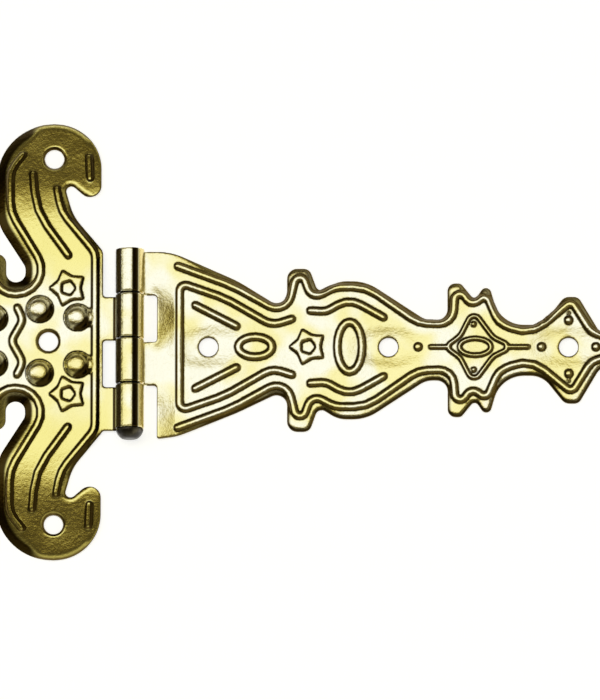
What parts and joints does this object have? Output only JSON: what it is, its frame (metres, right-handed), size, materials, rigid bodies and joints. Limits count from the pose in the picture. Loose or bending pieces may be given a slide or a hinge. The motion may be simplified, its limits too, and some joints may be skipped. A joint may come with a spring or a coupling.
{
  "type": "decorative hinge",
  "caption": "Ornate pressed-brass T hinge for a surface: a short leaf with two scroll horns, a long tapering waisted leaf with raised ridges, and a rolled barrel with a dark headed pin.",
  "frame": {"origin": "foot of the barrel's axis on the back plane, at the middle of the barrel's length", "axes": "+X from the pin towards the strap's tip, +Y along the pin away from its head, +Z out of the mounting surface towards the viewer"},
  "size_m": [0.1371, 0.089, 0.0058],
  "materials": {
    "plated_sheet": "polished",
    "pin": "satin"
  },
  "bodies": {
    "jamb": {"jamb_leaf": "plated_sheet", "hinge_pin": "pin"},
    "strap": {"strap_leaf": "plated_sheet"}
  },
  "joints": [
    {"name": "hinge", "type": "hinge", "parent": "jamb", "child": "strap", "pos_m": [0, 0, 0.0029], "axis": [0, -1, 0], "range_deg": [0, 180]}
  ]
}
